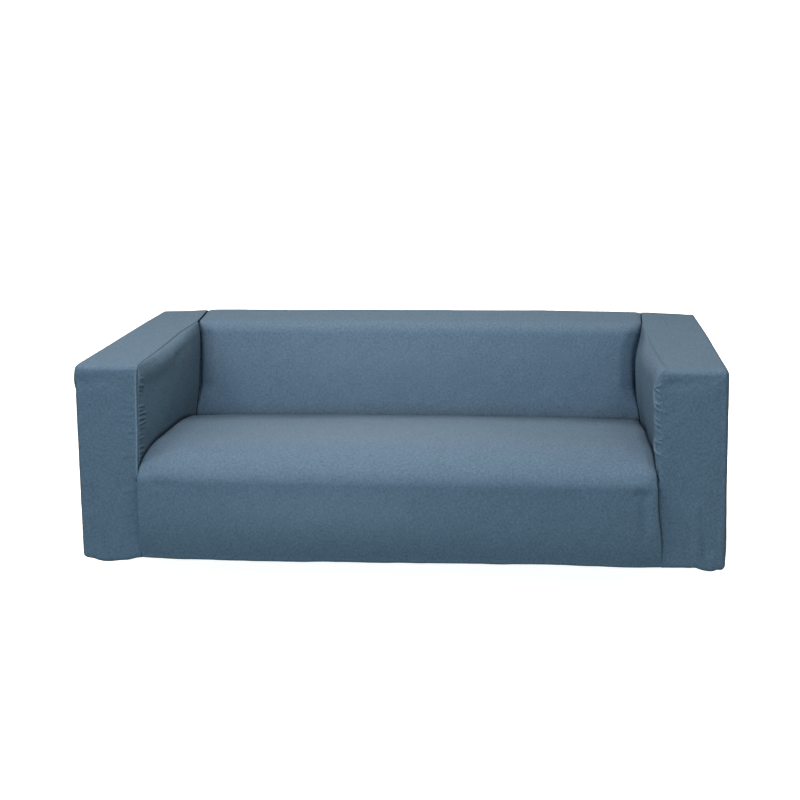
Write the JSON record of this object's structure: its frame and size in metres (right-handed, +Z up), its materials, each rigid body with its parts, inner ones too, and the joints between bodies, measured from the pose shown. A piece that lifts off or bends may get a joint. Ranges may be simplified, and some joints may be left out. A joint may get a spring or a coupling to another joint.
{
  "type": "sofa slipcover",
  "caption": "Fitted woven slipcover for a two-seat sofa with box arms, hollow and open underneath, with seamed panels and a turned hem.",
  "frame": {"origin": "under the cloth of the back's top, at mid-width, where the cover rests on the top of the sofa's back", "axes": "+X to the viewer's right along the cover's width, +Y to the rear, +Z up"},
  "size_m": [1.8164, 0.917, 0.5911],
  "materials": {
    "cloth": "matte heather weave, grey-blue"
  },
  "bodies": {
    "root": {"seat_front": "cloth", "back_inside": "cloth", "back_outside": "cloth", "arm_band_left": "cloth", "arm_band_right": "cloth", "arm_inside_left": "cloth", "arm_inside_right": "cloth", "arm_outside_left": "cloth", "arm_outside_right": "cloth"}
  },
  "joints": []
}
